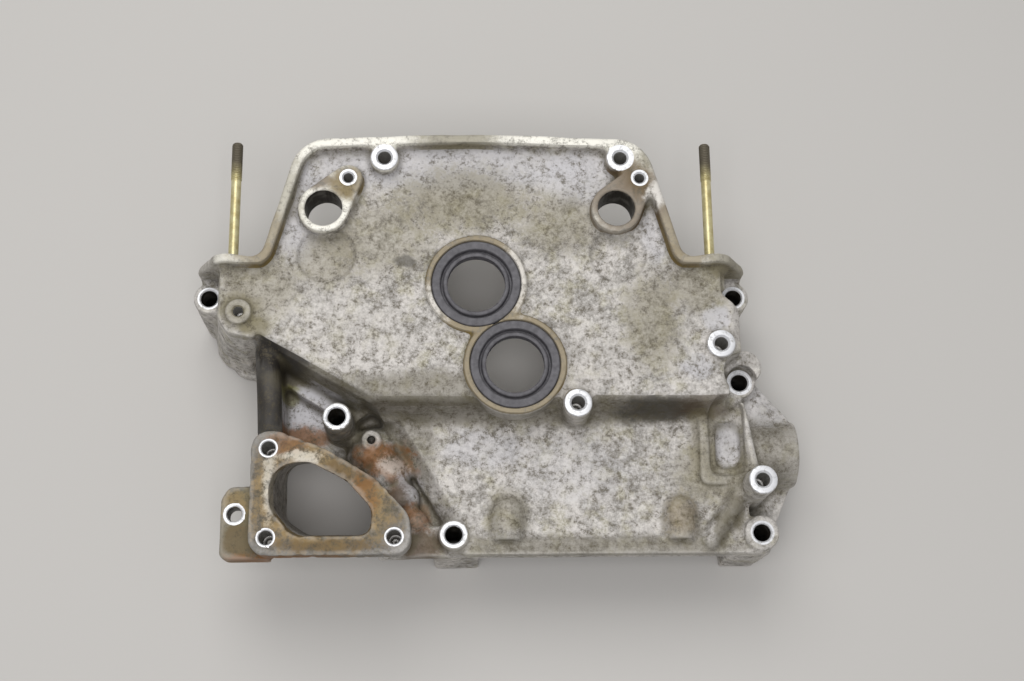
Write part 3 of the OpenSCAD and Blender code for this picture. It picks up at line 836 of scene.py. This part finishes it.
@dataclass
class DistanceField:
    """The casting as distances to its surface on a grid, positive outside. All sizes in mm."""

    voxel: float
    band: int
    margin: int = 2
    blur_reach: float = 2.4
    low: np.ndarray = field(default_factory=lambda: np.zeros(3))
    values: np.ndarray = field(default_factory=lambda: np.zeros((1, 1, 1), np.float32))

    def fill(self, points: np.ndarray, triangles: np.ndarray) -> None:
        """Works out the distances of a closed mesh.

        Args:
            points: Rows of three coordinates.
            triangles: Rows of three point numbers.
        """
        grid = openvdb.FloatGrid.createLevelSetFromPolygons(
            points,
            triangles=triangles,
            transform=openvdb.createLinearTransform(voxelSize=self.voxel),
            halfWidth=self.band,
        )
        first, last = (np.array(c) for c in grid.evalActiveVoxelBoundingBox())
        self.low = first - self.margin
        self.values = np.empty(tuple(last - first + 1 + 2 * self.margin), np.float32)
        grid.copyToArray(self.values, ijk=tuple(self.low.tolist()))

    def blurred(self, sigma: float) -> np.ndarray:
        """The field under a Gaussian blur, one axis after the other.

        Args:
            sigma: Standard deviation in mm.

        Returns:
            The blurred values on the same grid.
        """
        reach = math.ceil(self.blur_reach * sigma / self.voxel)
        weights = np.exp(-0.5 * (np.arange(-reach, reach + 1) * self.voxel / sigma) ** 2)
        weights = (weights / weights.sum()).astype(np.float32)
        out = self.values
        for axis in range(3):
            pads = [(reach, reach) if a == axis else (0, 0) for a in range(3)]
            rows = np.moveaxis(np.pad(out, pads, mode="edge"), axis, 0)
            size = out.shape[axis]
            out = np.moveaxis(sum(w * rows[k : k + size] for k, w in enumerate(weights)), 0, axis)
        return np.ascontiguousarray(out)

    def surface(self) -> tuple[np.ndarray, np.ndarray]:
        """The field's zero surface.

        Returns:
            Points as rows of coordinates, and quads as rows of point numbers that turn outwards.
        """
        grid = openvdb.FloatGrid(self.band * self.voxel)
        grid.transform = openvdb.createLinearTransform(voxelSize=self.voxel)
        grid.gridClass = openvdb.GridClass.LEVEL_SET
        grid.copyFromArray(self.values, ijk=tuple(self.low.tolist()))
        points, quads = grid.convertToQuads(isovalue=0.0)
        return points, quads[:, ::-1]

    def read(self, values: np.ndarray, points: np.ndarray) -> np.ndarray:
        """Reads values between grid points, weighted by nearness along each axis.

        Args:
            values: Values on this grid.
            points: Rows of three coordinates.

        Returns:
            One value for each point.
        """
        spot = points / self.voxel - self.low
        cell = np.clip(np.floor(spot).astype(int), 0, np.array(values.shape) - 2)
        part = spot - cell
        total = np.zeros(len(points))
        for corner in np.ndindex(2, 2, 2):
            weight = np.prod(np.where(np.array(corner) == 1, part, 1 - part), axis=1)
            total += weight * values[tuple((cell + corner).T)]
        return total


@dataclass
class Casting:
    """The cover: the CAD solid with cast fillets, an uneven skin and crisp machined places. Sizes in mm."""

    voxel: float = 0.8
    band: int = 8
    fillet: float = 1.9
    edge: float = 0.6
    groove_reach: float = 2.2
    hollow_reach: float = 5.0
    uneven: float = 0.10
    uneven_seed: int = 5
    uneven_waves: int = 14
    uneven_mm: tuple[float, float] = (9.0, 40.0)
    triangles: int = 172000
    sharp_deg: float = 36.0
    merge_m: float = 1e-6
    pit_seed: int = 11
    pit_waves: int = 24
    pit_mm: tuple[float, float] = (2.8, 8.0)
    pit_fade: float = 4.0
    pit_deep: float = 0.42
    pit_at: tuple[float, float] = (-74.0, -112.0)
    pit_reach: float = 52.0
    pit_low_z: float = 40.0
    skim: float = 0.12
    skim_near: float = 0.02
    slab_half: float = 400.0
    slab_tall: float = 9.0
    sink: float = 0.3
    near: float = 0.03
    tool_over: float = 2.5
    tool_steps: int = 64
    panel_z: float = 78.0
    panel_near: float = 1.6
    panel_upright: float = 0.6
    recesses: tuple[Recess, ...] = (Recess((-77.4, 16.9), 15.2), Recess((77.3, 16.6), 14.6))
    rim_z: float = 87.0
    ear_z: float = 54.0
    bolt_r: float = 4.5
    m8_r: float = 3.6
    m6_r: float = 2.7

    def machined(self) -> list[Machined]:
        """The machined places.

        Returns:
            Rings and holes, in the order in which they are cut.
        """
        bolt, m8, m6 = self.bolt_r, self.m8_r, self.m6_r
        return [
            Machined("left_ear", (-142.3, 0), self.ear_z, 6.2, bolt, 70),
            Machined("right_ear", (142.3, 0), self.ear_z, 6.4, bolt, 70),
            Machined("middle_ear", (143.2, -47.7), self.ear_z, 6.9, bolt, 70),
            Machined("long_bolt", (-70.1, -71.2), 80, 6.7, bolt, 95),
            Machined("left_foot", (-10.4, -129.5), 61, 6.9, bolt, 75),
            Machined("right_foot", (149.6, -129.5), 61, 6.3, bolt, 75),
            Machined("left_top", (-47, 68.6), self.rim_z, 7.4, m8, 18, 1.0, True),
            Machined("right_top", (79.1, 68.6), self.rim_z, 7.4, m8, 18, 1.0, True),
            Machined("left_lug", (-66, 57), self.rim_z, 4.7, m6, 16, 0.8, True),
            Machined("right_lug", (89.1, 57), self.rim_z, 4.7, m6, 16, 0.8, True),
            Machined("shoulder_boss", (53.9, -64.7), 82, 7.5, m8, 18, 1.0, True),
            Machined("edge_boss", (129.6, -33.3), 82, 7.5, m8, 18, 1.0, True),
            Machined("pipe_boss", (147.4, -105.2), 82, 7.5, m8, 18, 1.0, True),
            Machined("port_top", (-104.4, -87.3), 78.8, 4.9, m8, 20, 0.5, True),
            Machined("port_left", (-104.4, -132.8), 78.8, 4.9, m8, 20, 0.5, True),
            Machined("port_right", (-40.2, -132.8), 78.8, 4.9, m8, 20, 0.5, True),
            Machined("port_ear", (-122.6, -118.7), 64, 5.7, 3.8, 75, 0.5),
            Machined("small_boss", (-122.3, -15.2), 81, 4.2, m6, 12, 0.8, True, False),
            Machined("core_hole", (-53.6, -79), 58.5, 2.5, 2.2, 4, 0.2, False, False),
            Machined("left_bore", (-78.8, 40), self.rim_z, 10.6, 9.85, 45, 0.6, False, False),
            Machined("right_bore", (76.3, 40), self.rim_z, 10.6, 9.85, 45, 0.6, False, False),
        ]

    def seats(self) -> list[Machined]:
        """The two seal seats, cut apart from the rest because their faces meet."""
        return [
            Machined("upper_seat", (1.7, 0), 81, 27.4, 23.56, 10.6, 0.4, False, False),
            Machined("lower_seat", (21.7, -43.7), 81, 27.4, 23.56, 10.6, 0.4, False, False),
        ]

    def cad_arrays(self, node: bpy.types.Object) -> tuple[np.ndarray, np.ndarray]:
        """A merged copy of the CAD mesh as arrays in mm.

        Args:
            node: The CAD node, which is left alone.

        Returns:
            Points and triangles.
        """
        copy = node.data.copy()
        loose = bmesh.new()
        loose.from_mesh(copy)
        bmesh.ops.remove_doubles(loose, verts=loose.verts, dist=self.merge_m)
        loose.to_mesh(copy)
        loose.free()
        copy.calc_loop_triangles()
        flat = np.empty(len(copy.loop_triangles) * 3, np.int32)
        copy.loop_triangles.foreach_get("vertices", flat)
        points = mesh_points(copy) / MM
        bpy.data.meshes.remove(copy)
        return points, flat.reshape(-1, 3).astype(np.uint32)

    def waves(self, points: np.ndarray, seed: int, count: int, lengths: tuple[float, float]) -> np.ndarray:
        """A soft random height: plane waves in seeded directions, added up, over the root of their count.

        Args:
            points: Rows of coordinates in mm.
            seed: Seed of the directions, lengths and phases.
            count: How many waves.
            lengths: Shortest and longest wave in mm.

        Returns:
            One height for each point, mostly between -1.5 and 1.5.
        """
        dice = np.random.default_rng(seed)
        way = dice.standard_normal((count, 3))
        way /= np.linalg.norm(way, axis=1)[:, None]
        number = 2 * np.pi / dice.uniform(*lengths, count)
        phase = dice.uniform(0, 2 * np.pi, count)
        return np.sin(points @ (way * number[:, None]).T + phase).sum(axis=1) / math.sqrt(count)

    def skin_depth(self, points: np.ndarray) -> np.ndarray:
        """How deep the skin lies under the CAD surface: an uneven cast, and corrosion pits round the port.

        Args:
            points: Rows of coordinates in mm.

        Returns:
            One depth in mm for each point.
        """
        swell = self.waves(points, self.uneven_seed, self.uneven_waves, self.uneven_mm)
        pits = np.clip(self.waves(points, self.pit_seed, self.pit_waves, self.pit_mm), 0, 1)
        away = np.linalg.norm(points[:, :2] - self.pit_at, axis=1)
        near = np.clip(self.pit_fade * (1 - away / self.pit_reach), 0, 1) * (points[:, 2] > self.pit_low_z)
        return self.uneven * (1 - swell) + self.pit_deep * near * pits

    def cut(self, body: bpy.types.Object, tools: list[tuple[np.ndarray, list]]) -> None:
        """Cuts closed tools out of the body.

        Args:
            body: The object that is cut.
            tools: Points and faces of each tool, in the body's units. They don't meet each other.
        """
        points, faces, count = [], [], 0
        for tool_points, tool_faces in tools:
            points.append(tool_points)
            faces += [[n + count for n in face] for face in tool_faces]
            count += len(tool_points)
        cutter = new_object("tool", np.concatenate(points), faces)
        step = body.modifiers.new("cut", "BOOLEAN")
        step.operation = "DIFFERENCE"
        step.solver = "MANIFOLD"
        step.object = cutter
        self.apply(body)
        bpy.data.meshes.remove(cutter.data)

    def apply(self, body: bpy.types.Object) -> None:
        """Applies the body's modifiers and keeps the result as its mesh."""
        graph = bpy.context.evaluated_depsgraph_get()
        made = bpy.data.meshes.new_from_object(body.evaluated_get(graph))
        body.modifiers.clear()
        old, body.data = body.data, made
        bpy.data.meshes.remove(old)

    def slab(self, low: tuple, high: tuple) -> tuple[np.ndarray, list]:
        """A block from one corner to the opposite one, for a long facing cut.

        Args:
            low: Lowest corner in mm.
            high: Highest corner in mm.

        Returns:
            Points and outward faces.
        """
        corner = np.array(list(np.ndindex(2, 2, 2)))
        points = np.where(corner == 1, high, low).astype(float)
        faces = [[0, 1, 3, 2], [4, 6, 7, 5], [0, 4, 5, 1], [2, 3, 7, 6], [0, 2, 6, 4], [1, 5, 7, 3]]
        return points, faces

    def build(self, node: bpy.types.Object) -> bpy.types.Object:
        """Builds the casting.

        Args:
            node: The CAD node it replaces.

        Returns:
            The finished object in metres, with its groove and hollow attributes.
        """
        shape = DistanceField(self.voxel, self.band)
        shape.fill(*self.cad_arrays(node))
        shape.values = np.minimum(shape.values, shape.blurred(self.fillet))
        shape.values = shape.blurred(self.edge)
        groove = -shape.blurred(self.groove_reach)
        # The hollow attribute measures how deep a place lies in a hollow. The material paints shade and grime
        # by it.
        hollow = -shape.blurred(self.hollow_reach)
        points, quads = shape.surface()
        body = new_object("cover_casting", points, quads.tolist())
        normals = np.empty(len(points) * 3, np.float32)
        body.data.vertex_normals.foreach_get("vector", normals)
        normals = normals.reshape(-1, 3)
        moved = points - normals * self.skin_depth(points)[:, None]
        level = np.abs(points[:, 2] - self.panel_z) < self.panel_near
        on_panel = level & (normals[:, 2] > self.panel_upright)
        moved[:, 2] -= on_panel * sum(recess.depth(points) for recess in self.recesses)
        body.data.vertices.foreach_set("co", moved.astype(np.float32).ravel())
        thin = body.modifiers.new("thin", "DECIMATE")
        thin.ratio = self.triangles / (2 * len(quads))
        self.apply(body)
        LOG.info("casting skin: %d faces", len(body.data.polygons))
        places = self.machined()
        half, tall = self.slab_half, self.slab_tall
        for tools in (
            [self.slab((-half, -half, -tall), (half, half, self.skim))],
            [self.slab((-half, -half, self.rim_z - self.skim), (half, half, self.rim_z + tall))],
            [self.tool(p) for p in places],
            *[[self.tool(p)] for p in self.seats()],
        ):
            self.cut(body, tools)
        mesh = body.data
        mesh.materials.clear()
        self.sort_faces(mesh, places)
        spots = mesh_points(mesh).astype(float)
        for name, values in (("groove", groove), ("hollow", hollow)):
            layer = mesh.attributes.new(name, "FLOAT", "POINT")
            layer.data.foreach_set("value", shape.read(values, spots).astype(np.float32))
        mesh.transform(Matrix.Scale(MM, 4))
        mesh.shade_smooth()
        mesh.set_sharp_from_angle(angle=math.radians(self.sharp_deg))
        LOG.info("casting: %d triangles", sum(len(p.vertices) - 2 for p in mesh.polygons))
        return body

    def tool(self, place: Machined) -> tuple[np.ndarray, list]:
        """The cutting tool of one machined place.

        Args:
            place: The place.

        Returns:
            Points and faces in mm, moved to the place and sunk below the cast skin.
        """
        points, faces = lathe(place.profile(self.tool_over), self.tool_steps, closed=False)
        return points + np.array([*place.at, -self.sink]), faces

    def sort_faces(self, mesh: bpy.types.Mesh, places: list[Machined]) -> None:
        """Gives each face its material slot by where its middle lies.

        Args:
            mesh: The casting's mesh in mm.
            places: The machined places.
        """
        middles = np.empty(len(mesh.polygons) * 3, np.float32)
        mesh.polygons.foreach_get("center", middles)
        middles = middles.reshape(-1, 3)
        slots = np.full(len(middles), Slot.CAST.value, np.int32)
        slots[middles[:, 2] < self.skim + self.skim_near] = Slot.FACED.value
        near = self.near
        for place in places:
            away = np.linalg.norm(middles[:, :2] - place.at, axis=1)
            drop = place.face_z - self.sink - middles[:, 2]
            face = (drop > -near) & (drop < place.chamfer + near) & (away < place.face_r)
            hole = (drop > near) & (drop < place.deep + place.hole_r) & (away < place.hole_r + near)
            if place.bright:
                slots[face] = Slot.FACED.value
            slots[hole] = Slot.TAPPED.value if place.tapped else Slot.BORED.value
        mesh.polygons.foreach_set("material_index", slots)


@dataclass
class ShaftSeal:
    """A radial shaft seal: rubber-coated ring, deep groove and a lip. Sizes in mm from its CAD box."""

    node: str
    lip_r: float = 15.0
    steps: int = 128
    round_mm: float = 0.45
    round_steps: int = 4
    sharp_deg: float = 50.0

    def build(self) -> bpy.types.Object:
        """Builds the seal.

        Returns:
            The seal in metres, in the place of its CAD node.
        """
        low, high = (np.array(c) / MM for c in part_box(self.node))
        outer, tall = (high[0] - low[0]) / 2, high[2] - low[2]
        lip = self.lip_r
        section = np.array(
            [
                [outer - 3.2, 0.05],
                [outer - 0.6, 0.05],
                [outer - 0.02, 0.8],
                [outer - 0.02, tall - 0.9],
                [outer - 0.5, tall - 0.05],
                [outer - 2.2, tall - 0.12],
                [outer - 4.2, tall - 0.05],
                [outer - 4.6, tall - 0.6],
                [outer - 4.7, tall - 3.9],
                [lip + 2.6, tall - 3.9],
                [lip + 2.4, tall - 1.4],
                [lip + 1.4, tall - 0.9],
                [lip + 0.05, tall - 1.3],
                [lip + 1.0, tall - 3.0],
                [lip + 0.25, 3.6],
                [lip + 0.9, 1.3],
                [lip + 3.3, 1.3],
                [lip + 3.3, 2.4],
                [lip + 2.3, 2.6],
                [lip + 2.0, 3.2],
                [lip + 2.3, 3.8],
                [lip + 3.3, 4.0],
                [lip + 3.3, 5.0],
                [outer - 3.2, 5.0],
            ]
        )
        points, faces = lathe(rounded(section, self.round_mm, self.round_steps), self.steps, closed=True)
        middle = np.array([*(low + high)[:2] / 2, low[2]])
        return new_object(self.node + "_rubber", (points + middle) * MM, faces, self.sharp_deg)


@dataclass
class GarterSpring:
    """A garter spring: close coils of fine wire bent to a ring. Sizes in mm, the ring from its CAD box."""

    node: str
    wire_r: float = 0.17
    turns: int = 190
    coil_steps: int = 12
    sides: int = 6
    inset: float = 0.01
    sharp_deg: float = 60.0

    def build(self) -> bpy.types.Object:
        """Builds the spring.

        The wire's middle runs round the ring at angle a and round the coil at angle turns * a. Round it a
        small circle is carried, in the plane of the outward coil direction and its cross product with the
        wire's own.

        Returns:
            The spring in metres, in the place of its CAD node.
        """
        low, high = (np.array(c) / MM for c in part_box(self.node))
        coil = (high[2] - low[2]) / 2 - self.wire_r - self.inset
        ring = (high[0] - low[0]) / 2 - coil - self.wire_r - self.inset
        count = self.turns * self.coil_steps
        a = np.linspace(0, 2 * np.pi, count, endpoint=False)
        out = np.stack([np.cos(a), np.sin(a), 0 * a], axis=1)
        up = np.array([0.0, 0.0, 1.0])
        b = self.turns * a
        away = np.cos(b)[:, None] * out + np.sin(b)[:, None] * up
        path = ring * out + coil * away
        along = np.roll(path, -1, axis=0) - np.roll(path, 1, axis=0)
        along /= np.linalg.norm(along, axis=1)[:, None]
        across = np.cross(along, away)
        c = np.linspace(0, 2 * np.pi, self.sides, endpoint=False)
        circle = np.cos(c)[None, :, None] * away[:, None] + np.sin(c)[None, :, None] * across[:, None]
        points = (path[:, None] + self.wire_r * circle).reshape(-1, 3) + (low + high) / 2
        i, j = np.arange(count)[:, None] * self.sides, np.arange(self.sides)[None, :]
        k, after = (i + self.sides) % (count * self.sides), (j + 1) % self.sides
        faces = np.stack([i + j, k + j, k + after, i + after], axis=-1).reshape(-1, 4).tolist()
        return new_object(self.node + "_coils", points * MM, faces, self.sharp_deg)


@dataclass
class LedgeStud:
    """A stud along +Y: thread in the ledge, plain shank, thread with a chamfered tip. Sizes in mm."""

    side: Side
    pitch: float = 1.0
    root_len: float = 12.0
    tip_len: float = 22.0
    shank_r: float = 2.66
    depth: float = 0.55
    steps: int = 40
    rows_per_pitch: int = 10
    inset: float = 0.01
    end_inset: float = 0.02
    flank: float = 1.7
    crest_flat: float = 0.35
    runout: float = 0.8
    tip_slope: float = 0.9
    sharp_deg: float = 34.0

    @property
    def node(self) -> str:
        """The CAD node this stud replaces."""
        return f"{self.side.name.lower()}_stud"

    def build(self) -> bpy.types.Object:
        """Builds the stud.

        At height h and angle a the thread's radius is the crest less depth times a clipped triangle wave of
        h / pitch - a / 2 pi. The shank is plain, and the tip is drawn in over its last millimetre.

        Returns:
            The stud in metres, in the place of its CAD node.
        """
        low, high = (np.array(c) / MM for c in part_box(self.node))
        crest = (high[0] - low[0]) / 2 - self.inset
        tall = high[1] - low[1]
        rows = int(tall / self.pitch * self.rows_per_pitch)
        height = np.linspace(self.end_inset, tall - self.end_inset, rows)[:, None]
        angle = np.linspace(0, 2 * np.pi, self.steps, endpoint=False)[None, :]
        turn = (height / self.pitch - angle / (2 * np.pi)) % 1
        groove = np.clip(self.flank * np.abs(2 * turn - 1) - self.crest_flat, 0, 1)
        threaded = crest - self.depth * groove
        near_root = np.clip((self.root_len - height) / self.runout, 0, 1)
        near_tip = np.clip((height - (tall - self.tip_len)) / self.runout, 0, 1)
        share = np.maximum(near_root, near_tip)
        radius = share * threaded + (1 - share) * self.shank_r
        taper = crest - np.maximum(0, self.tip_slope * (height - (tall - 1)))
        radius = np.minimum(radius, taper)
        x, z = (low[0] + high[0]) / 2, (low[2] + high[2]) / 2
        across, rise = x + radius * np.sin(angle), z + radius * np.cos(angle)
        grid = np.stack([across, low[1] + height + 0 * angle, rise], axis=-1)
        i, j = np.arange(rows - 1)[:, None] * self.steps, np.arange(self.steps)[None, :]
        after = (j + 1) % self.steps
        quads = np.stack([i + j, i + after, i + self.steps + after, i + self.steps + j], axis=-1)
        ring = np.arange(self.steps)
        ends = [ring[::-1].tolist(), (ring + (rows - 1) * self.steps).tolist()]
        faces = quads.reshape(-1, 4).tolist() + ends
        return new_object(self.node + "_steel", grid.reshape(-1, 3) * MM, faces, self.sharp_deg)


@dataclass(frozen=True)
class Lamp:
    """A square soft lamp: its place, its aim, its side, its power and its colour. Metres and watts."""

    name: str
    at: tuple[float, float, float]
    aim: tuple[float, float, float]
    size: float
    watts: float
    tint: str

    def hang(self) -> None:
        """Hangs the lamp in the scene."""
        data = bpy.data.lights.new(self.name, "AREA")
        data.size, data.energy, data.color = self.size, self.watts, linear(self.tint)[:3]
        made = bpy.data.objects.new(self.name, data)
        made.location = self.at
        made.rotation_euler = (Vector(self.aim) - Vector(self.at)).to_track_quat("-Z", "Y").to_euler()
        bpy.context.scene.collection.objects.link(made)


@dataclass
class Studio:
    """Camera at the photograph's angle, a pale floor and soft light from above. Metres."""

    eye: tuple[float, float, float] = (-0.00654, -0.23334, 0.807)
    right: tuple[float, float, float] = (0.99937, -0.01145, 0.03349)
    up: tuple[float, float, float] = (0.00205, 0.96343, 0.26796)
    ahead: tuple[float, float, float] = (0.03534, 0.26772, -0.96285)
    lens_mm: float = 50.98
    sensor_mm: float = 36.0
    floor_half: float = 2.5
    world_tint: str = "#f4f5f7"
    world_level: float = 0.48
    lamps: tuple[Lamp, ...] = (
        Lamp("key", (-0.2, 0.6, 1.3), (0, -0.02, 0.04), 0.9, 9.0, "#ffffff"),
        Lamp("front", (-0.06, -0.42, 1.25), (-0.02, -0.05, 0.04), 0.6, 6.5, "#fbfbff"),
    )

    def camera(self) -> None:
        """Sets up the scene's camera."""
        data = bpy.data.cameras.new("camera")
        data.lens, data.sensor_width, data.sensor_fit = self.lens_mm, self.sensor_mm, "HORIZONTAL"
        made = bpy.data.objects.new("camera", data)
        turn = Matrix((self.right, self.up, [-v for v in self.ahead])).transposed()
        made.matrix_world = Matrix.Translation(self.eye) @ turn.to_4x4()
        bpy.context.scene.collection.objects.link(made)
        bpy.context.scene.camera = made

    def build(self) -> None:
        """Builds the floor, the lamps and the world."""
        h = self.floor_half
        corners = np.array([[-h, -h, 0], [h, -h, 0], [h, h, 0], [-h, h, 0]], float)
        floor = new_object("floor", corners, [[0, 1, 2, 3]])
        floor.data.materials.append(FloorPaint().make())
        for lamp in self.lamps:
            lamp.hang()
        world = bpy.data.worlds.new("studio")
        world.use_nodes = True
        back = world.node_tree.nodes["Background"]
        back.inputs["Color"].default_value = linear(self.world_tint)
        back.inputs["Strength"].default_value = self.world_level
        scene = bpy.context.scene
        scene.world = world
        scene.view_settings.view_transform = "Standard"
        self.camera()


def dress(made: bpy.types.Object, node: str, slot: str, *materials: bpy.types.Material) -> None:
    """Gives a finished piece its materials and puts it in the place of its CAD node.

    Args:
        made: The piece.
        node: The CAD node it replaces.
        slot: The record's material slot. Not used.
        materials: Its materials in slot order.
    """
    for material in materials:
        made.data.materials.append(material)
    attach(made, "root")
    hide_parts(node)
    LOG.info("%s replaces %s: %d faces", made.name, node, len(made.data.polygons))


def main() -> None:
    """Builds the studio and every piece of the cover, and logs their face counts."""
    logging.basicConfig(level=logging.INFO, format="%(name)s: %(message)s")
    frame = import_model()
    Studio().build()
    finishes = [f.make() for f in (CastAluminium(), FacedAluminium(), TappedAluminium(), BoredAluminium())]
    dress(Casting().build(frame["nodes"]["cover"]), "cover", "cast_aluminium", *finishes)
    rubber, steel, zinc = SealRubber().make(), SpringSteel().make(), YellowZinc().make()
    for node in ("upper_seal", "lower_seal"):
        dress(ShaftSeal(node).build(), node, "seal_rubber", rubber)
        spring = f"{node}_spring"
        dress(GarterSpring(spring).build(), spring, "spring_steel", steel)
    for side in Side:
        stud = LedgeStud(side)
        dress(stud.build(), stud.node, "zinc_steel", zinc)


if __name__ == "__main__":
    main()
